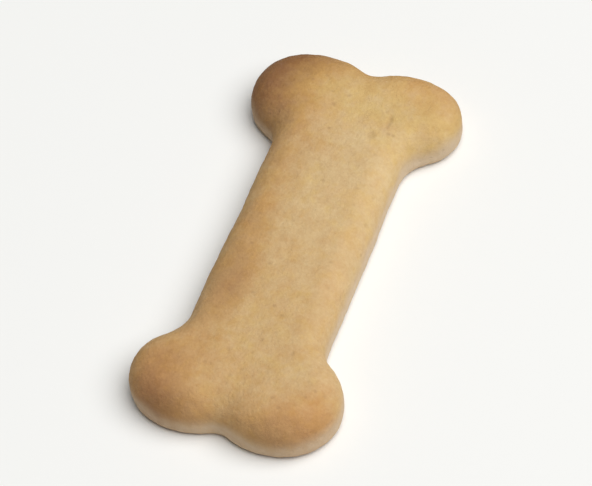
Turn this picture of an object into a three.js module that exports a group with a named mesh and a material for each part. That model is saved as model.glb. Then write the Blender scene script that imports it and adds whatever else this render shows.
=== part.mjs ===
// A bone-shaped dog biscuit, baked hard from one piece of dough, lying flat.
// Sizes are in millimetres and Z is up. X runs along the biscuit and Y runs across it.
// The origin is on the surface that the biscuit lies on, under the middle of its outline.
// The outline is four round knuckles joined by a straight shaft, and no two knuckles are alike.
// Seen in section, the biscuit has a flat bottom, an upright side and a soft round shoulder.

import * as THREE from 'three';

// Driving dimensions
const RIM_HEIGHT = 8.7;

// reach: from the middle to the knuckle's tip, along X
// spread: from the middle line to the knuckle's outermost side, along Y
// radius: of the knuckle's round side; tipRadius: of the flatter curve across its tip
// corner: direction in which the one becomes the other, in degrees out from the X axis
// neck: radius of the hollow curve between the knuckle and the shaft
// waist: from the middle line to the side of the shaft next to the knuckle
const KNUCKLES = {
  farLeft: {
    end: 1, side: 1, reach: 45.3, spread: 21.2,
    radius: 10, tipRadius: 16.7, corner: 21, neck: 4.9, waist: 12.9,
  },
  nearLeft: {
    end: -1, side: 1, reach: 44.7, spread: 19.75,
    radius: 9.2, tipRadius: 14.8, corner: 25, neck: 7.5, waist: 13.2,
  },
  nearRight: {
    end: -1, side: -1, reach: 45, spread: 20.7,
    radius: 10.3, tipRadius: 15, corner: 23, neck: 5.5, waist: 13.35,
  },
  farRight: {
    end: 1, side: -1, reach: 44.5, spread: 20.8,
    radius: 8.3, tipRadius: 17.2, corner: 23.5, neck: 7.6, waist: 13.05,
  },
};
const FAR_NOTCH_RADIUS = 2.75;
const NEAR_NOTCH_RADIUS = 5.15;

// Section through the side
const BOTTOM_EDGE = { inset: 1.5, height: 1.6 };
const SHOULDER = { inset: 5.2, height: 4.7 };

// Relief of the top, which brings the knuckles to 9.5 high
const CROWN = { height: 0.45, width: 13 };
const KNUCKLE_SWELL = { height: 0.4, width: 6.5 };
const FAR_VALLEY = { depth: 0.25, width: 2.6, length: 7 };
const NEAR_VALLEY = { depth: 0.8, width: 2.6, length: 7 };

// Slow unevenness of the top: a long wave that crosses the biscuit both ways, and a short slanting one
const LONG_WAVE = { height: 0.09, along: 9.1, across: 6.7, alongStart: 0.8, acrossStart: -0.4 };
const SHORT_WAVE = { height: 0.04, along: 4.3, across: -5.9, start: 2.1 };

// Waves round the outline, as hand-cut dough has
const SIDE_WAVES = [
  { height: 0.07, count: 5, start: 0.7 },
  { height: 0.05, count: 11, start: 2.3 },
];

// Fineness of the mesh
const AROUND = 172;
const EDGE_STEPS = 3;
const SHOULDER_STEPS = 8;
const TOP_RINGS = 6;
const MIDDLE_RING = { halfLength: 34, halfWidth: 2, bluntness: 1.4 };

const CRUST = { color: 0xcfa877, roughness: 0.85, metalness: 0 };

// Direction from a knuckle's centre to where its round side becomes its flatter tip
function cornerDirection(knuckle) {
  const angle = THREE.MathUtils.degToRad(knuckle.corner);
  return new THREE.Vector2(knuckle.end * Math.cos(angle), knuckle.side * Math.sin(angle));
}

// Centre of a knuckle's flatter curve
function tipCentre(knuckle) {
  const beyond = knuckle.tipRadius - knuckle.radius;
  const y = knuckle.side * (knuckle.spread - knuckle.radius) - beyond * cornerDirection(knuckle).y;
  return new THREE.Vector2(knuckle.end * (knuckle.reach - knuckle.tipRadius), y);
}

// Centre of a knuckle's round side
function knuckleCentre(knuckle) {
  const beyond = knuckle.tipRadius - knuckle.radius;
  return tipCentre(knuckle).addScaledVector(cornerDirection(knuckle), beyond);
}

// Centre of the hollow arc that touches both knuckles of one end
function notchCentre(left, right, radius) {
  const a = tipCentre(left);
  const b = tipCentre(right);
  const along = b.clone().sub(a);
  const apart = along.length();
  along.normalize();
  const reachA = left.tipRadius + radius;
  const reachB = right.tipRadius + radius;
  const foot = (apart * apart + reachA * reachA - reachB * reachB) / (2 * apart);
  const out = Math.sqrt(reachA * reachA - foot * foot);
  const outward = new THREE.Vector2(-along.y, along.x);
  if (outward.x * left.end < 0) outward.negate();
  return a.addScaledVector(along, foot).addScaledVector(outward, out);
}

// Centre of the hollow arc that touches a knuckle and the side of the shaft
function neckCentre(knuckle) {
  const centre = knuckleCentre(knuckle);
  const y = knuckle.side * (knuckle.waist + knuckle.neck);
  const apart = knuckle.radius + knuckle.neck;
  const rise = y - centre.y;
  const back = Math.sqrt(apart * apart - rise * rise);
  return new THREE.Vector2(centre.x - knuckle.end * back, y);
}

function angleTo(from, to) {
  return Math.atan2(to.y - from.y, to.x - from.x);
}

// The outline seen from above, counter-clockwise, from the middle of the far notch
function boneOutline() {
  const { farLeft, nearLeft, nearRight, farRight } = KNUCKLES;
  const farNotch = notchCentre(farLeft, farRight, FAR_NOTCH_RADIUS);
  const nearNotch = notchCentre(nearLeft, nearRight, NEAR_NOTCH_RADIUS);
  const outline = new THREE.Shape();

  function round(centre, radius, startAngle, endAngle) {
    outline.absarc(centre.x, centre.y, radius, startAngle, endAngle, false);
  }
  function hollow(centre, radius, startAngle, endAngle) {
    outline.absarc(centre.x, centre.y, radius, startAngle, endAngle, true);
  }
  // A knuckle that the outline reaches from its notch and leaves by its neck
  function knuckleThenNeck(knuckle, notch) {
    const centre = knuckleCentre(knuckle);
    const tip = tipCentre(knuckle);
    const neck = neckCentre(knuckle);
    const corner = cornerDirection(knuckle).angle();
    round(tip, knuckle.tipRadius, angleTo(tip, notch), corner);
    round(centre, knuckle.radius, corner, angleTo(centre, neck));
    hollow(neck, knuckle.neck, angleTo(neck, centre), -knuckle.side * Math.PI / 2);
  }
  // A knuckle that the outline reaches by its neck and leaves for its notch
  function neckThenKnuckle(knuckle, notch) {
    const centre = knuckleCentre(knuckle);
    const tip = tipCentre(knuckle);
    const neck = neckCentre(knuckle);
    const corner = cornerDirection(knuckle).angle();
    hollow(neck, knuckle.neck, -knuckle.side * Math.PI / 2, angleTo(neck, centre));
    round(centre, knuckle.radius, angleTo(centre, neck), corner);
    round(tip, knuckle.tipRadius, corner, angleTo(tip, notch));
  }

  hollow(farNotch, FAR_NOTCH_RADIUS, Math.PI, angleTo(farNotch, tipCentre(farLeft)));
  knuckleThenNeck(farLeft, farNotch);
  neckThenKnuckle(nearLeft, nearNotch);
  const nearLeftAngle = angleTo(nearNotch, tipCentre(nearLeft));
  const nearRightAngle = angleTo(nearNotch, tipCentre(nearRight));
  hollow(nearNotch, NEAR_NOTCH_RADIUS, nearLeftAngle, nearRightAngle);
  knuckleThenNeck(nearRight, nearNotch);
  neckThenKnuckle(farRight, farNotch);
  hollow(farNotch, FAR_NOTCH_RADIUS, angleTo(farNotch, tipCentre(farRight)), -Math.PI);
  return outline;
}

// Evenly spaced points of the outline, each with the direction that leads inwards
function outlineStations(outline) {
  const points = outline.getSpacedPoints(AROUND).slice(0, AROUND);
  return points.map((point, i) => {
    const before = points[(i + AROUND - 1) % AROUND];
    const after = points[(i + 1) % AROUND];
    const tangent = after.clone().sub(before).normalize();
    const inward = new THREE.Vector2(-tangent.y, tangent.x);
    return { point, inward, turn: (2 * Math.PI * i) / AROUND };
  });
}

// The section from the bottom to the top of the shoulder, as pairs of inset and height
function sideSection() {
  const quarter = Math.PI / 2;
  const edge = new THREE.EllipseCurve(
    BOTTOM_EDGE.inset, BOTTOM_EDGE.height, BOTTOM_EDGE.inset, BOTTOM_EDGE.height,
    3 * quarter, 2 * quarter, true);
  const shoulder = new THREE.EllipseCurve(
    SHOULDER.inset, RIM_HEIGHT - SHOULDER.height, SHOULDER.inset, SHOULDER.height,
    2 * quarter, quarter, true);
  return [...edge.getPoints(EDGE_STEPS), ...shoulder.getPoints(SHOULDER_STEPS)];
}

function bell(distance, width) {
  return Math.exp(-(distance * distance) / (2 * width * width));
}

// The valley that runs in from the notch between the two knuckles of one end
function valley(x, y, notch, notchRadius, end) {
  const { depth, width, length } = end > 0 ? FAR_VALLEY : NEAR_VALLEY;
  const mouth = notch.x - end * notchRadius;
  const inside = Math.max(0, end * (mouth - x));
  return depth * bell(y - notch.y, width) * bell(inside, length);
}

// Height that the unevenness of the dough adds to the top
function doughWaves(x, y) {
  const along = Math.sin(x / LONG_WAVE.along + LONG_WAVE.alongStart);
  const across = Math.cos(y / LONG_WAVE.across + LONG_WAVE.acrossStart);
  const slanting = Math.sin(x / SHORT_WAVE.along + y / SHORT_WAVE.across + SHORT_WAVE.start);
  return LONG_WAVE.height * along * across + SHORT_WAVE.height * slanting;
}

// Height that the crown, the knuckles, the valleys and the waves add to the flat top
function topRelief(x, y) {
  const { farLeft, nearLeft, nearRight, farRight } = KNUCKLES;
  let height = CROWN.height * bell(y, CROWN.width) + doughWaves(x, y);
  for (const knuckle of Object.values(KNUCKLES)) {
    const centre = knuckleCentre(knuckle);
    height += KNUCKLE_SWELL.height * bell(Math.hypot(x - centre.x, y - centre.y), KNUCKLE_SWELL.width);
  }
  const farNotch = notchCentre(farLeft, farRight, FAR_NOTCH_RADIUS);
  const nearNotch = notchCentre(nearLeft, nearRight, NEAR_NOTCH_RADIUS);
  height -= valley(x, y, farNotch, FAR_NOTCH_RADIUS, 1);
  height -= valley(x, y, nearNotch, NEAR_NOTCH_RADIUS, -1);
  return height;
}

// How far the side stands in or out
function sideWaver(turn) {
  return SIDE_WAVES.reduce((sum, wave) => sum + wave.height * Math.sin(wave.count * turn + wave.start), 0);
}

// A point of the slim, blunt-ended oval along the middle line, in which the rings of the top end
function middleRing(turn) {
  const { halfLength, halfWidth, bluntness } = MIDDLE_RING;
  const x = halfLength * Math.sin(bluntness * Math.cos(turn)) / Math.sin(bluntness);
  const y = halfWidth * Math.sin(turn);
  return { x, y };
}

// Rings of points from the bottom, up the side and over the shoulder to the middle of the top
function biscuitRings() {
  const stations = outlineStations(boneOutline());
  const rings = [];
  const shoulderFoot = RIM_HEIGHT - SHOULDER.height;
  for (const step of sideSection()) {
    const lift = Math.max(0, (step.y - shoulderFoot) / SHOULDER.height);
    rings.push(stations.map(({ point, inward, turn }) => {
      const inset = step.x + sideWaver(turn);
      const x = point.x + inward.x * inset;
      const y = point.y + inward.y * inset;
      return new THREE.Vector3(x, y, step.y + lift * topRelief(x, y));
    }));
  }
  const rim = rings[rings.length - 1];
  for (let ring = 1; ring <= TOP_RINGS; ring += 1) {
    const share = ring / TOP_RINGS;
    rings.push(rim.map((corner, i) => {
      const middle = middleRing(stations[i].turn);
      const x = THREE.MathUtils.lerp(corner.x, middle.x, share);
      const y = THREE.MathUtils.lerp(corner.y, middle.y, share);
      return new THREE.Vector3(x, y, RIM_HEIGHT + topRelief(x, y));
    }));
  }
  return rings;
}

// Joins the rings with triangles, and closes the bottom and the middle of the top
function skin(rings) {
  const positions = rings.flat().flatMap((corner) => corner.toArray());
  const faces = [];
  for (let level = 0; level < rings.length - 1; level += 1) {
    for (let i = 0; i < AROUND; i += 1) {
      const next = (i + 1) % AROUND;
      const low = level * AROUND;
      const high = low + AROUND;
      faces.push(low + i, low + next, high + next);
      faces.push(low + i, high + next, high + i);
    }
  }
  const top = (rings.length - 1) * AROUND;
  for (let i = 0; i < AROUND / 2; i += 1) {
    const opposite = (AROUND - i) % AROUND;
    const nextOpposite = AROUND - i - 1;
    if (opposite !== i) faces.push(top + i, top + i + 1, top + opposite);
    if (nextOpposite !== i + 1) faces.push(top + i + 1, top + nextOpposite, top + opposite);
  }
  for (const [a, b, c] of THREE.ShapeUtils.triangulateShape(rings[0], [])) {
    faces.push(a, c, b);
  }
  const geometry = new THREE.BufferGeometry();
  geometry.setAttribute('position', new THREE.Float32BufferAttribute(positions, 3));
  geometry.setIndex(faces);
  return geometry;
}

function makeBiscuit() {
  const geometry = skin(biscuitRings());
  geometry.computeBoundingBox();
  const middle = geometry.boundingBox.getCenter(new THREE.Vector3());
  geometry.translate(-middle.x, -middle.y, 0);
  geometry.computeVertexNormals();
  const biscuit = new THREE.Mesh(geometry, new THREE.MeshStandardMaterial(CRUST));
  biscuit.name = 'biscuit';
  return biscuit;
}

const model = new THREE.Group();
model.add(makeBiscuit());

export default model;
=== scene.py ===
# A bone-shaped dog biscuit, baked hard from one piece of dough, and the stage it is shown on.
# Sizes are in metres, Z is up, X runs along the biscuit and Y runs across it.

import math

import bpy
import numpy as np
from bpy.props import FloatProperty, FloatVectorProperty, IntProperty, PointerProperty
from bpy.types import Operator, Panel, PropertyGroup
from mathutils import Matrix, Vector, noise


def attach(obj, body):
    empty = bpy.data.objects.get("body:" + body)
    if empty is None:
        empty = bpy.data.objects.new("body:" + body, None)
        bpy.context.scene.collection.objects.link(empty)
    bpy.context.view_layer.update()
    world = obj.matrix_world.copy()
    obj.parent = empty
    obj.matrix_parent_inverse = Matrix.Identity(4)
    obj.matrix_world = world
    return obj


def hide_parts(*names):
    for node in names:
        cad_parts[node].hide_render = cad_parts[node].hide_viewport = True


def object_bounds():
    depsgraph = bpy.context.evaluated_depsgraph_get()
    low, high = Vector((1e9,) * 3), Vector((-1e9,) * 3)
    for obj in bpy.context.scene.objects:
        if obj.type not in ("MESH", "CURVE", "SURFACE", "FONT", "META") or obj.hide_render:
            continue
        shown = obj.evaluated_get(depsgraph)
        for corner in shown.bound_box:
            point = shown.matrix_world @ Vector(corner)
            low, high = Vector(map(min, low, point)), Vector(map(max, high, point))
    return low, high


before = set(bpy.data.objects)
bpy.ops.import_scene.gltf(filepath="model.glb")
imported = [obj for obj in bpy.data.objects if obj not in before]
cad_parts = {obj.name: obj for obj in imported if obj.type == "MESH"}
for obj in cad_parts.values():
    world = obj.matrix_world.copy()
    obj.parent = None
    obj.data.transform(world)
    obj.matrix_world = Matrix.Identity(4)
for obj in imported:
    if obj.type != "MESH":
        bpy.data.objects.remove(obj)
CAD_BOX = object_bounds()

bl_info = {
    "name": "Dog Biscuit",
    "version": (1, 0, 0),
    "blender": (4, 5, 0),
    "location": "3D View > Sidebar > Biscuit",
    "description": "Makes a hard-baked, bone-shaped dog biscuit and the stage it is shown on",
    "category": "Add Mesh",
}

NODE = "biscuit"
PIECE = "biscuit_crust"
LOWEST, HIGHEST = CAD_BOX
MIDDLE = (LOWEST + HIGHEST) / 2
HALF_LENGTH = (HIGHEST.x - LOWEST.x) / 2
HALF_WIDTH = (HIGHEST.y - LOWEST.y) / 2

# The skin: points nearer than this become one, and how far each evening-out moves a point
WELD_DISTANCE = 0.00001
SOFTENING_FACTOR = 0.5

# How steeply a normal rises, at least, where the surface counts as the top
TOP_NORMAL = 0.5

# Where each noise of the surface starts, so that no two are alike
NOISE_STARTS = {
    "swells": 2.6,
    "lumps": 0.3,
    "small_lumps": 5.2,
    "grain": 3.4,
    "small_grain": 8.8,
    "streaks": 7.1,
    "streak_grain": 9.6,
    "side_edge": 4.1,
    "toasted_patches": 1.7,
    "toasted_spots": 2.9,
    "base_patches": 6.3,
    "honey_patches": 5.8,
}

# What the smaller lumps and grains add: how many times smaller they are, and their share in height
SMALL_LUMPS = {"smaller": 2.1, "share": 0.5}
SMALL_GRAIN = {"smaller": 1.7, "share": 0.7}
STREAK_GRAIN_SHARE = 0.8

# Noises of the colours and of the side's edge: size of the lumps in metres, and how much each adds
PATTERNS = {
    "side_edge": {"size": 0.006, "amount": 0.0009},
    "toasted_patches": {"size": 0.009, "amount": 0.035},
    "toasted_spots": {"size": 0.0035, "amount": 0.025},
    "base_patches": {"size": 0.008, "amount": 0.15},
    "honey_patches": {"size": 0.012, "amount": 0.3},
}

# Pits: what spreads their centres for the draw, and the smallest radius as a share of the widest
PIT_DRAW_SPREAD = 7.3
SMALLEST_PIT = 0.5

# The dry side: height of its upper edge, how far it fades out below and above that edge, and the
# slopes between which it ends; the underside begins between slopes of its own
SIDE_HEIGHT = 0.0045
SIDE_FADE_BELOW = 0.0017
SIDE_FADE_ABOVE = 0.0015
SIDE_SLOPES = (0.35, 0.85)
UNDERSIDE_SLOPES = (0.3, 0.8)

# How yellow the whole crust is, what the far end adds, and between which shares of half the length
EVEN_HONEY = 0.15
FAR_HONEY = 0.75
FAR_STRETCH = (0.3, 1.0)

# The share of its flour that the side loses where it is fully browned; at the far left, where the
# browning is partly painted shade, the side's darkening is painted shade as well
FLOUR_LOSS_AND_SHADE = 0.45

# Where the crust is browner and darker, in a spot that fades out all round; at the far left knuckle and
# neck and the left shoulder this is partly browning and partly painted shade
# along, across: from the middle, as a share of half the length and of half the width
# length, width: how far the spot reaches, in the same shares
# weight: how much browner and darker it is in its middle, less than 0 where it is paler
BROWNED_AND_SHADED_SPOTS = {
    "far_left_knuckle": {"along": 0.78, "across": 0.85, "length": 0.23, "width": 0.29, "weight": 0.86},
    "far_left_tip": {"along": 0.95, "across": 0.45, "length": 0.07, "width": 0.5, "weight": 0.42},
    "far_left_neck": {"along": 0.61, "across": 0.56, "length": 0.05, "width": 0.1, "weight": 0.16},
    "far_left_shaft": {"along": 0.42, "across": 0.34, "length": 0.12, "width": 0.16, "weight": 0.1},
    "left_shoulder": {"along": -0.15, "across": 0.36, "length": 0.4, "width": 0.13, "weight": 0.27},
    "near_left_neck": {"along": -0.32, "across": 0.3, "length": 0.1, "width": 0.2, "weight": 0.15},
    "near_left_knuckle": {"along": -0.83, "across": 0.62, "length": 0.1, "width": 0.15, "weight": 0.3},
    "near_left_tip": {"along": -0.98, "across": 0.52, "length": 0.065, "width": 0.26, "weight": 0.41},
    "near_right_tip": {"along": -0.99, "across": -0.55, "length": 0.09, "width": 0.3, "weight": 0.38},
    "near_right_knuckle": {"along": -0.85, "across": -0.92, "length": 0.1, "width": 0.14, "weight": 0.19},
    "near_right_middle": {"along": -0.83, "across": -0.48, "length": 0.08, "width": 0.13, "weight": -0.09},
    "near_right_neck": {"along": -0.5, "across": -0.47, "length": 0.25, "width": 0.1, "weight": 0.07},
    "far_right_knuckle": {"along": 0.86, "across": -0.95, "length": 0.14, "width": 0.3, "weight": 0.22},
    "far_right_tip": {"along": 0.95, "across": -0.45, "length": 0.045, "width": 0.25, "weight": 0.2},
}

# Where the oven reddened the crust: places and reach as above; weight: how red it is in its middle
REDDENED_SPOTS = {
    "near_left_knuckle": {"along": -0.86, "across": 0.55, "length": 0.13, "width": 0.22, "weight": 0.8},
    "near_right_knuckle": {"along": -0.9, "across": -0.82, "length": 0.1, "width": 0.2, "weight": 1.0},
    "far_right_knuckle": {"along": 0.88, "across": -0.5, "length": 0.1, "width": 0.25, "weight": 0.6},
}

# Marks pressed or split in the top: along and across in shares as above, length and width in metres
# depth: as a share of the depth of a pit
MARKS = {
    "far_slit": {"along": 0.66, "across": -0.415, "length": 0.004, "width": 0.0012, "depth": 1.7},
    "far_dent": {"along": 0.57, "across": -0.31, "length": 0.0024, "width": 0.002, "depth": 1.3},
    "far_pinhole": {"along": 0.69, "across": 0.15, "length": 0.0013, "width": 0.0011, "depth": 1.2},
}

# Pinholes in the top of the near end: along and across of each, in shares as above
PINHOLES = (
    (-0.75, 0.25), (-0.75, 0.2), (-0.58, -0.14), (-0.65, -0.11),
    (-0.53, -0.22), (-0.74, -0.08), (-0.78, 0.0), (-0.82, 0.0),
)

# What each point of the surface hands to the material, as a share from 0 to 1
# The toasting share holds painted shade along the left side and at the far left as well as toasting
TOASTING_AND_SHADE, HONEYING, FLUSHING = "toasting", "honeying", "flushing"
FLOURING, PITTING = "flouring", "pitting"

# Toasting at which the crust is golden; at 0 it is pale, and at 1 brown
GOLDEN_TOAST = 0.4

# How the crumbs, the finest grain and the bran are stretched: less than 1 makes them longer
STRETCH = (1.0, 0.8, 1.0)

# Noises of the material: size of the lumps in metres, and how fine the noise goes
# within, becomes: the stretch of the noise that counts, and what it is turned into
TONES = {
    "patches": {"size": 0.0045, "detail": 3.0, "within": (0.3, 0.7), "becomes": (-0.05, 0.05)},
    "crumbs": {"size": 0.0014, "detail": 2.0, "within": (0.3, 0.7), "becomes": (-0.055, 0.055)},
    "tints": {"size": 0.0032, "detail": 3.0, "within": (0.35, 0.65), "becomes": (-0.35, 0.35)},
    "small_tints": {"size": 0.0013, "detail": 2.0, "within": (0.35, 0.65), "becomes": (-0.18, 0.18)},
    "flushes": {"size": 0.006, "detail": 3.0, "within": (0.42, 0.68), "becomes": (0.0, 0.45)},
    "dusting": {"size": 0.0018, "detail": 3.0, "within": (0.35, 0.65), "becomes": (0.75, 1.0)},
    "dryness": {"size": 0.0012, "detail": 2.0, "within": (0.3, 0.7), "becomes": (-0.08, 0.08)},
}

# The finest noises, which also stand out, and the speckle that the first of them makes
FINE_GRAIN = {"size": 0.0005, "detail": 3.0, "roughness": 0.6}
POWDER = {"size": 0.00022, "detail": 4.0, "roughness": 0.7}
SPECKLE = {"within": (0.3, 0.7), "becomes": (-0.055, 0.055)}

# Bran specks and the tops of crumbs: spacing in metres, and the shares of it between which each fades
# lots: the lots between which a bran speck goes from unseen to its full darkness
BRAN_SPECKS = {"spacing": 0.0018, "fades": (0.08, 0.26), "lots": (0.7, 0.95), "darkness": 0.28}
CRUMB_TOPS = {"spacing": 0.0007, "fades": (0.1, 0.6), "height": 0.35}
# How much painted shade darkens the floors of the pits, marks and pinholes, in the bran colour
PIT_PAINTED_SHADE = 0.22
CRUST_SPECULAR = 0.3

# Sockets of the Mix node that are in use when it mixes colours
MIX_SHARE, MIX_FIRST, MIX_SECOND, MIX_RESULT = 0, 6, 7, 2

# The stage: the sensor is in millimetres, as the focal length is
FLOOR_REACH = 3.0
FLOOR_ROUGHNESS = 0.9
FLOOR_SPECULAR = 0.1
WHITE = (1.0, 1.0, 1.0, 1.0)
SENSOR_WIDTH = 36.0
NEAREST_SEEN = 0.01


def length_property(name, description, default):
    return FloatProperty(
        name=name, description=description, default=default, min=0.0,
        subtype="DISTANCE", unit="LENGTH", precision=5)


def share_property(name, description, default):
    return FloatProperty(
        name=name, description=description, default=default, min=0.0, max=1.0, subtype="FACTOR")


def angle_property(name, description, degrees):
    return FloatProperty(
        name=name, description=description, default=math.radians(degrees),
        subtype="ANGLE", unit="ROTATION")


def colour_property(name, description, default):
    return FloatVectorProperty(
        name=name, description=description, default=default, size=4, min=0.0, max=1.0,
        subtype="COLOR_GAMMA")


class BiscuitShape(PropertyGroup):
    """Sizes of the baked surface"""

    mesh_size: length_property(
        "Mesh Size", "Side of the small squares that the surface is made of", 0.0003)
    softening: IntProperty(
        name="Softening", description="How often the surface is evened out", default=14, min=0)
    swell_size: length_property("Swell Size", "Width of the broadest swells of dough", 0.012)
    swell_height: length_property("Swell Height", "How far the swells stand out", 0.00012)
    lump_size: length_property("Lump Size", "Width of the soft lumps of dough", 0.0046)
    lump_height: length_property("Lump Height", "How far the soft lumps stand out", 0.0001)
    grain_size: length_property("Grain Size", "Width of the crumbs of flour", 0.0013)
    grain_height: length_property("Grain Height", "How far the crumbs stand out", 0.000045)
    pit_spacing: length_property("Pit Spacing", "Usual distance between two pits", 0.0046)
    pit_radius: length_property("Pit Radius", "Radius of the widest pits", 0.00045)
    pit_depth: length_property("Pit Depth", "Depth of the pits", 0.00013)
    pit_share: share_property("Pit Share", "Share of the places that hold a pit", 0.22)
    streak_size: FloatVectorProperty(
        name="Streak Size", description="Length, width and height of the level streaks of the side",
        default=(0.0031, 0.0031, 0.0008), size=3, subtype="XYZ_LENGTH", unit="LENGTH", precision=5)
    streak_height: length_property(
        "Streak Height", "How far the level streaks of the side stand out", 0.00006)


class BiscuitCrust(PropertyGroup):
    """Colours and toasting of the baked surface"""

    pale: colour_property("Pale Crust", "Least baked part of the top", (0.83, 0.722, 0.538, 1.0))
    golden: colour_property("Golden Crust", "Lightly toasted part", (0.742, 0.591, 0.396, 1.0))
    brown: colour_property("Brown Crust", "Well toasted part", (0.545, 0.388, 0.258, 1.0))
    honey: colour_property("Honey Tint", "Tint of the yellower crust", (1.0, 0.985, 0.89, 1.0))
    flush: colour_property("Flush Tint", "Tint of the redder crust", (1.0, 0.96, 0.94, 1.0))
    flour: colour_property("Floury Side", "Dry side below the shoulder", (0.835, 0.745, 0.63, 1.0))
    # The bran colour is also the painted shade in the floors of the pits
    bran: colour_property("Bran", "Specks of bran and the floors of pits", (0.52, 0.38, 0.25, 1.0))
    even_toasting: share_property("Even Toasting", "Toasting of the whole top", 0.16)
    near_toasting: share_property("Near Toasting", "Further toasting towards the near end", 0.1)
    # Towards the left side the top darkens partly from toasting and partly from painted shade
    left_toasting_and_shade: share_property("Left Toasting", "Further toasting towards the left side", 0.07)
    base_toasting: share_property("Base Toasting", "Toasting of the flat underside", 0.4)
    roughness: share_property("Roughness", "Usual roughness of the surface", 0.82)
    grain_bump: length_property("Grain Bump", "Height of the finest grain", 0.0001)


class StageSettings(PropertyGroup):
    """Floor, light and camera"""

    floor: colour_property("Floor", "Colour of the floor", (0.93, 0.93, 0.92, 1.0))
    sky_strength: FloatProperty(
        name="Surrounding Light", description="Strength of the even light from all round",
        default=0.12, min=0.0)
    key_power: FloatProperty(
        name="Key Power", description="Power of the large soft light", default=131.0, min=0.0,
        unit="POWER")
    key_size: length_property("Key Size", "Width of the large soft light", 3.75)
    key_distance: length_property("Key Distance", "From the light to the biscuit's middle", 3.0)
    key_azimuth: angle_property("Key Azimuth", "Direction of the large soft light, round from -Y", 5)
    key_elevation: angle_property(
        "Key Elevation", "Height of the large soft light above the floor", 66)
    azimuth: angle_property("View Azimuth", "Direction of the camera, round from -Y", -65.57)
    elevation: angle_property("View Elevation", "Height of the camera above the floor", 51.49)
    roll: angle_property("Roll", "Turn of the camera about its line of sight", 6.17)
    distance: length_property("Distance", "From the camera to the biscuit's middle", 0.6154)
    focal_length: FloatProperty(
        name="Focal Length", description="Focal length of the camera", default=199.0, min=1.0,
        unit="CAMERA")


def add_object(name, data):
    """A new object in the scene, in place of one that an earlier run left under its name."""
    old = bpy.data.objects.get(name)
    if old is not None:
        bpy.data.objects.remove(old)
    made = bpy.data.objects.new(name, data)
    bpy.context.scene.collection.objects.link(made)
    return made


# The surface as arrays of points

def read_points(mesh):
    points = np.empty(len(mesh.vertices) * 3, np.float32)
    mesh.vertices.foreach_get("co", points)
    return points.reshape(-1, 3).astype(float)


def read_normals(mesh):
    normals = np.empty(len(mesh.vertices) * 3, np.float32)
    mesh.vertex_normals.foreach_get("vector", normals)
    return normals.reshape(-1, 3).astype(float)


def write_points(mesh, points):
    mesh.vertices.foreach_set("co", points.astype(np.float32).ravel())
    mesh.update()


def write_share(mesh, name, values):
    attribute = mesh.attributes.new(name, "FLOAT", "POINT")
    attribute.data.foreach_set("value", np.clip(values, 0, 1).astype(np.float32))


def along_and_across(points):
    """Where each point lies, from -1 at one end or side of the biscuit to 1 at the other."""
    along = (points[:, 0] - MIDDLE.x) / HALF_LENGTH
    across = (points[:, 1] - MIDDLE.y) / HALF_WIDTH
    return along, across


def rise(values, low, high):
    """Goes softly from 0 at low to 1 at high."""
    share = np.clip((values - low) / (high - low), 0, 1)
    return share * share * (3 - 2 * share)


def bell(distance, width):
    """1 at no distance, fading out over about twice the width."""
    return np.exp(-(distance / width) ** 2 / 2)


def waves(points, size, name):
    """Soft noise between about -1 and 1. Its lumps are of the given size, in one or in three axes."""
    start = NOISE_STARTS[name]
    shift = Vector((start, 2 * start, 3 * start))
    scaled = points / np.array(size)
    return np.array([noise.noise(Vector(point) + shift) for point in scaled])


def pattern(points, name):
    """One of the named patterns, as much as it adds."""
    return PATTERNS[name]["amount"] * waves(points, PATTERNS[name]["size"], name)


def pits(points, spacing, radius, share):
    """How deep each point lies in a round pit, from 0 to 1. A share of the cells holds a pit."""
    depth = np.zeros(len(points))
    for i, point in enumerate(points / spacing):
        distances, centres = noise.voronoi(Vector(point))
        draw = noise.cell(centres[0] * PIT_DRAW_SPREAD)
        if draw < share:
            reach = radius / spacing * (SMALLEST_PIT + (1 - SMALLEST_PIT) * draw / share)
            depth[i] = max(0.0, 1 - (distances[0] / reach) ** 2)
    return depth


def dish(points, normals, along, across, length, width):
    """How deep each point lies in one long round dish in the top, from 0 to 1."""
    offset_x = (points[:, 0] - MIDDLE.x - along * HALF_LENGTH) / (length / 2)
    offset_y = (points[:, 1] - MIDDLE.y - across * HALF_WIDTH) / (width / 2)
    return np.maximum(0, 1 - offset_x ** 2 - offset_y ** 2) * (normals[:, 2] > TOP_NORMAL)


def marks(points, normals, pinhole_size):
    """How deep each point lies in the marks and pinholes that the top shows."""
    depth = np.zeros(len(points))
    for mark in MARKS.values():
        place = mark["along"], mark["across"], mark["length"], mark["width"]
        depth = np.maximum(depth, mark["depth"] * dish(points, normals, *place))
    for along, across in PINHOLES:
        depth = np.maximum(depth, dish(points, normals, along, across, pinhole_size, pinhole_size))
    return depth


def even_copy(node, mesh_size, softening):
    """The node's shape as one closed skin of small even squares, without its facets."""
    crust = add_object(PIECE, node.data.copy())
    crust.modifiers.new("weld", "WELD").merge_threshold = WELD_DISTANCE
    remesh = crust.modifiers.new("even", "REMESH")
    remesh.mode = "VOXEL"
    remesh.voxel_size = mesh_size
    smooth = crust.modifiers.new("soften", "SMOOTH")
    smooth.factor = SOFTENING_FACTOR
    smooth.iterations = softening
    evaluated = crust.evaluated_get(bpy.context.evaluated_depsgraph_get())
    crust.data = bpy.data.meshes.new_from_object(evaluated)
    crust.modifiers.clear()
    crust.data.name = PIECE
    crust.data.materials.clear()
    return crust


def fit_to_frame(points):
    """Stretches the points, which are a little off in size, to the frame's own box."""
    low, high = points.min(0), points.max(0)
    return np.array(LOWEST) + (points - low) / (high - low) * np.array(HIGHEST - LOWEST)


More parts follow.
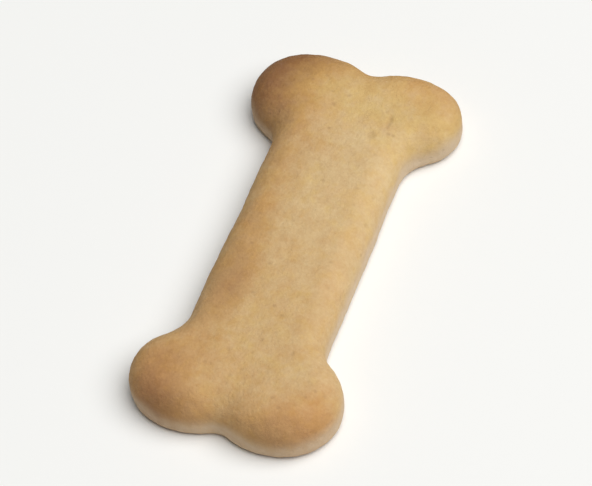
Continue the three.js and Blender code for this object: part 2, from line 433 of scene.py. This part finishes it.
def side_share(points, normals):
    """1 on the dry side below the shoulder and 0 on the top and the underside."""
    edge = SIDE_HEIGHT + pattern(points, "side_edge")
    below = 1 - rise(points[:, 2], edge - SIDE_FADE_BELOW, edge + SIDE_FADE_ABOVE)
    steep = 1 - rise(np.abs(normals[:, 2]), *SIDE_SLOPES)
    return below * steep


def spots(along, across, table):
    """How much the spots of one table bring to each point."""
    value = np.zeros(len(along))
    for spot in table.values():
        value += (spot["weight"] * bell(along - spot["along"], spot["length"])
                  * bell(across - spot["across"], spot["width"]))
    return value


def toasting(points, normals, crust):
    """How brown and dark each point is: the oven's toasting, with painted shade along the left side and
    at the far left.
    """
    along, across = along_and_across(points)
    # Towards the left side and in the far left spots this adds painted shade as well as toasting
    value = crust.even_toasting - crust.near_toasting * along + crust.left_toasting_and_shade * across
    value += spots(along, across, BROWNED_AND_SHADED_SPOTS)
    value += pattern(points, "toasted_patches") + pattern(points, "toasted_spots")
    under = rise(-normals[:, 2], *UNDERSIDE_SLOPES)
    below = crust.base_toasting + pattern(points, "base_patches")
    return value * (1 - under) + below * under


def honeying(points):
    """How yellow each point is. The far end is the yellowest."""
    along, _ = along_and_across(points)
    return EVEN_HONEY + FAR_HONEY * rise(along, *FAR_STRETCH) + pattern(points, "honey_patches")


def flushing(points):
    """How red each point is."""
    return spots(*along_and_across(points), REDDENED_SPOTS)


def relief(points, shape, side):
    """How far each point stands out: swells, lumps and grain, and streaks on the side."""
    swells = waves(points, shape.swell_size, "swells")
    lumps = waves(points, shape.lump_size, "lumps")
    small_lump_size = shape.lump_size / SMALL_LUMPS["smaller"]
    lumps += SMALL_LUMPS["share"] * waves(points, small_lump_size, "small_lumps")
    grain = waves(points, shape.grain_size, "grain")
    small_grain_size = shape.grain_size / SMALL_GRAIN["smaller"]
    grain += SMALL_GRAIN["share"] * waves(points, small_grain_size, "small_grain")
    streaks = waves(points, shape.streak_size, "streaks")
    streaks += STREAK_GRAIN_SHARE * waves(points, shape.grain_size, "streak_grain")
    return (shape.swell_height * swells + shape.lump_height * lumps
            + shape.grain_height * grain + shape.streak_height * side * streaks)


# Materials

def new_material(name):
    """A material and its shader, in place of a material that an earlier run left."""
    old = bpy.data.materials.get(name)
    if old is not None:
        bpy.data.materials.remove(old)
    material = bpy.data.materials.new(name)
    material.use_nodes = True
    return material, material.node_tree.nodes["Principled BSDF"]


def linear(colour):
    """The shader's own numbers for a colour as it looks on the screen, by the sRGB curve."""
    def channel(value):
        return value / 12.92 if value <= 0.04045 else ((value + 0.055) / 1.055) ** 2.4
    return (*(channel(value) for value in colour[:3]), 1.0)


def add_node(tree, kind, inputs=(), **settings):
    """A node with its settings, and its inputs linked or set."""
    node = tree.nodes.new(kind)
    for name, value in settings.items():
        setattr(node, name, value)
    for key, value in dict(inputs).items():
        if isinstance(value, bpy.types.NodeSocket):
            tree.links.new(value, node.inputs[key])
        else:
            node.inputs[key].default_value = value
    return node


def add_noise(tree, place, size, detail, roughness=0.5):
    """Noise whose lumps are of the given size."""
    return add_node(tree, "ShaderNodeTexNoise", {
        "Vector": place, "Scale": 1 / size, "Detail": detail,
        "Roughness": roughness}).outputs["Fac"]


def add_cells(tree, place, spacing):
    """Round cells that stand at about the given spacing."""
    return add_node(tree, "ShaderNodeTexVoronoi", {"Vector": place, "Scale": 1 / spacing})


def add_range(tree, value, within, becomes):
    """The value with one stretch of it turned into another, and cut off outside."""
    return add_node(tree, "ShaderNodeMapRange", {
        "Value": value, "From Min": within[0], "From Max": within[1],
        "To Min": becomes[0], "To Max": becomes[1]}).outputs["Result"]


def add_tone(tree, place, name, usual=0.0):
    """One of the named tones, around its usual value."""
    tone = TONES[name]
    value = add_noise(tree, place, tone["size"], tone["detail"])
    low, high = tone["becomes"]
    return add_range(tree, value, tone["within"], (usual + low, usual + high))


def add_math(tree, first, second, operation="ADD"):
    return add_node(tree, "ShaderNodeMath", {0: first, 1: second}, operation=operation).outputs[0]


def add_mix(tree, share, first, second, blend="MIX"):
    return add_node(tree, "ShaderNodeMix", {
        MIX_SHARE: share, MIX_FIRST: first, MIX_SECOND: second},
        data_type="RGBA", blend_type=blend).outputs[MIX_RESULT]


def crust_colour(tree, crust, place, stretched, fine):
    """The colour, from what the surface hands over and from noise."""
    toast_and_shade, honey, flush, flour, holes = (
        add_node(tree, "ShaderNodeAttribute", attribute_name=name).outputs["Fac"]
        for name in (TOASTING_AND_SHADE, HONEYING, FLUSHING, FLOURING, PITTING))

    # Toasting, partly painted shade along the left side and at the far left, broken up by noise, picks
    # the colour between pale and brown
    toast_and_shade = add_math(tree, toast_and_shade, add_tone(tree, place, "patches"))
    crumbs = add_tone(tree, stretched, "crumbs")
    speckled = add_math(tree, crumbs, add_range(tree, fine, **SPECKLE))
    ramp = add_node(tree, "ShaderNodeValToRGB", {"Fac": add_math(tree, toast_and_shade, speckled)})
    pale, brown = ramp.color_ramp.elements
    pale.color = linear(crust.pale)
    brown.color = linear(crust.brown)
    ramp.color_ramp.elements.new(GOLDEN_TOAST).color = linear(crust.golden)

    # Yellower places, some of them small
    yellow = add_math(tree, honey, add_tone(tree, place, "tints"))
    yellow = add_math(tree, yellow, add_tone(tree, place, "small_tints"))
    colour = add_mix(tree, yellow, ramp.outputs["Color"], linear(crust.honey), "MULTIPLY")

    # Places that the oven reddened
    flushed = add_math(tree, flush, add_tone(tree, place, "flushes"))
    colour = add_mix(tree, flushed, colour, linear(crust.flush), "MULTIPLY")

    # Dry flour on the side
    dusted = add_math(tree, flour, add_tone(tree, place, "dusting"), "MULTIPLY")
    colour = add_mix(tree, dusted, colour, linear(crust.flour))

    # Bran specks, and painted shade in the floors of the pits, marks and pinholes
    cells = add_cells(tree, stretched, BRAN_SPECKS["spacing"])
    near = add_range(tree, cells.outputs["Distance"], BRAN_SPECKS["fades"], (1.0, 0.0))
    lots = add_node(tree, "ShaderNodeSeparateColor", {"Color": cells.outputs["Color"]})
    kept = add_range(
        tree, lots.outputs["Red"], BRAN_SPECKS["lots"], (0.0, BRAN_SPECKS["darkness"]))
    specks = add_math(tree, near, kept, "MULTIPLY")
    floors = add_math(tree, holes, PIT_PAINTED_SHADE, "MULTIPLY")
    return add_mix(tree, add_math(tree, specks, floors, "MAXIMUM"), colour, linear(crust.bran))


def crust_grain(tree, crust, place, fine):
    """The finest grain, as normals for the shader."""
    powder = add_noise(tree, place, **POWDER)
    cells = add_cells(tree, place, CRUMB_TOPS["spacing"])
    tops = add_range(
        tree, cells.outputs["Distance"], CRUMB_TOPS["fades"], (CRUMB_TOPS["height"], 0.0))
    grain = add_math(tree, add_math(tree, fine, powder), tops)
    return add_node(tree, "ShaderNodeBump", {
        "Height": grain, "Strength": 1.0, "Distance": crust.grain_bump}).outputs["Normal"]


def crust_material(crust):
    """Baked dough: dry, matte and grainy."""
    material, shader = new_material("baked_crust")
    tree = material.node_tree
    place = add_node(tree, "ShaderNodeTexCoord").outputs["Object"]
    mapping = add_node(tree, "ShaderNodeMapping", {"Vector": place, "Scale": STRETCH})
    stretched = mapping.outputs["Vector"]
    fine = add_noise(tree, stretched, **FINE_GRAIN)
    colour = crust_colour(tree, crust, place, stretched, fine)
    tree.links.new(colour, shader.inputs["Base Color"])
    tree.links.new(add_tone(tree, place, "dryness", crust.roughness), shader.inputs["Roughness"])
    tree.links.new(crust_grain(tree, crust, place, fine), shader.inputs["Normal"])
    shader.inputs["Specular IOR Level"].default_value = CRUST_SPECULAR
    return material


class BISCUIT_OT_make_biscuit(Operator):
    """Makes the biscuit: one solid piece with a toasted top, a dry side and a flat underside"""

    bl_idname = "biscuit.make_biscuit"
    bl_label = "Make Biscuit"
    bl_options = {"REGISTER", "UNDO"}

    def execute(self, context):
        shape, crust = context.scene.biscuit_shape, context.scene.biscuit_crust
        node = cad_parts.get(NODE)
        if node is None:
            raise RuntimeError("The frame has no biscuit to work from")
        piece = even_copy(node, shape.mesh_size, shape.softening)
        mesh = piece.data
        write_points(mesh, fit_to_frame(read_points(mesh)))
        points, normals = read_points(mesh), read_normals(mesh)
        side = side_share(points, normals)
        # The toasting, with painted shade along the left side and at the far left
        brown = toasting(points, normals, crust)
        holes = np.maximum(
            pits(points, shape.pit_spacing, shape.pit_radius, shape.pit_share),
            marks(points, normals, 2 * shape.pit_radius))
        raised = relief(points, shape, side) - shape.pit_depth * holes
        moved = points + normals * raised[:, None]
        moved[:, 2] = np.maximum(moved[:, 2], LOWEST.z)
        write_points(mesh, fit_to_frame(moved))
        write_share(mesh, TOASTING_AND_SHADE, brown)
        write_share(mesh, HONEYING, honeying(points))
        write_share(mesh, FLUSHING, flushing(points))
        # The side loses its flour where it is toasted, and is darkened by painted shade where the
        # toasting holds painted shade
        write_share(mesh, FLOURING, side * (1 - FLOUR_LOSS_AND_SHADE * np.clip(brown, 0, 1)))
        write_share(mesh, PITTING, holes)
        mesh.shade_smooth()
        mesh.materials.append(crust_material(crust))
        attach(piece, "root")
        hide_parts(NODE)
        return {"FINISHED"}


# The stage

def stage_direction(azimuth, elevation):
    """Towards a place at this angle round from -Y and above the floor."""
    level = math.cos(elevation)
    return Vector((math.sin(azimuth) * level, -math.cos(azimuth) * level, math.sin(elevation)))


def add_floor(colour):
    """A wide, plain floor under the biscuit."""
    sides = ((-1, -1), (1, -1), (1, 1), (-1, 1))
    corners = [(x * FLOOR_REACH, y * FLOOR_REACH, LOWEST.z) for x, y in sides]
    mesh = bpy.data.meshes.new("floor")
    mesh.from_pydata(corners, [], [(0, 1, 2, 3)])
    material, shader = new_material("pale_floor")
    shader.inputs["Base Color"].default_value = linear(colour)
    shader.inputs["Roughness"].default_value = FLOOR_ROUGHNESS
    shader.inputs["Specular IOR Level"].default_value = FLOOR_SPECULAR
    mesh.materials.append(material)
    floor = add_object("floor", mesh)


def add_key_light(stage):
    """One large, round, soft light, turned to the biscuit's middle."""
    lamp = bpy.data.lights.new("key_light", "AREA")
    lamp.shape = "DISK"
    lamp.size = stage.key_size
    lamp.energy = stage.key_power
    light = add_object("key_light", lamp)
    direction = stage_direction(stage.key_azimuth, stage.key_elevation)
    light.location = MIDDLE + direction * stage.key_distance
    light.rotation_euler = (-direction).to_track_quat("-Z", "Y").to_euler()


def add_surroundings(strength):
    """Even white light from all round."""
    world = bpy.data.worlds.new("soft_surroundings")
    world.use_nodes = True
    background = world.node_tree.nodes["Background"]
    background.inputs["Color"].default_value = WHITE
    background.inputs["Strength"].default_value = strength
    bpy.context.scene.world = world


def add_camera(stage):
    """The camera, turned to the biscuit's middle."""
    view = bpy.data.cameras.new("camera")
    view.sensor_fit = "HORIZONTAL"
    view.sensor_width = SENSOR_WIDTH
    view.lens = stage.focal_length
    view.clip_start = NEAREST_SEEN
    camera = add_object("camera", view)
    back = stage_direction(stage.azimuth, stage.elevation)
    upright = (-back).to_track_quat("-Z", "Y").to_matrix()
    turned = upright @ Matrix.Rotation(-stage.roll, 3, "Z")
    camera.matrix_world = Matrix.Translation(MIDDLE + back * stage.distance) @ turned.to_4x4()
    bpy.context.scene.camera = camera


class BISCUIT_OT_make_stage(Operator):
    """Makes the pale floor, the soft light and the camera, and shows colours as they are"""

    bl_idname = "biscuit.make_stage"
    bl_label = "Make Stage"
    bl_options = {"REGISTER", "UNDO"}

    def execute(self, context):
        stage = context.scene.biscuit_stage
        add_floor(stage.floor)
        add_key_light(stage)
        add_surroundings(stage.sky_strength)
        add_camera(stage)
        context.scene.view_settings.view_transform = "Standard"
        return {"FINISHED"}


class BISCUIT_PT_sidebar(Panel):
    """Lists the settings and the makers of the biscuit and its stage"""

    bl_label = "Dog Biscuit"
    bl_idname = "BISCUIT_PT_sidebar"
    bl_space_type = "VIEW_3D"
    bl_region_type = "UI"
    bl_category = "Biscuit"

    def draw(self, context):
        scene = context.scene
        groups = (
            (scene.biscuit_shape, None),
            (scene.biscuit_crust, BISCUIT_OT_make_biscuit),
            (scene.biscuit_stage, BISCUIT_OT_make_stage),
        )
        for settings, maker in groups:
            column = self.layout.column()
            for name in settings.__annotations__:
                column.prop(settings, name)
            if maker is not None:
                column.operator(maker.bl_idname)


CLASSES = (
    BiscuitShape,
    BiscuitCrust,
    StageSettings,
    BISCUIT_OT_make_biscuit,
    BISCUIT_OT_make_stage,
    BISCUIT_PT_sidebar,
)


def register():
    for kind in CLASSES:
        bpy.utils.register_class(kind)
    bpy.types.Scene.biscuit_shape = PointerProperty(type=BiscuitShape)
    bpy.types.Scene.biscuit_crust = PointerProperty(type=BiscuitCrust)
    bpy.types.Scene.biscuit_stage = PointerProperty(type=StageSettings)


def unregister():
    del bpy.types.Scene.biscuit_stage
    del bpy.types.Scene.biscuit_crust
    del bpy.types.Scene.biscuit_shape
    for kind in reversed(CLASSES):
        bpy.utils.unregister_class(kind)


def main():
    register()
    bpy.ops.biscuit.make_stage()
    bpy.ops.biscuit.make_biscuit()


if __name__ == "__main__":
    main()
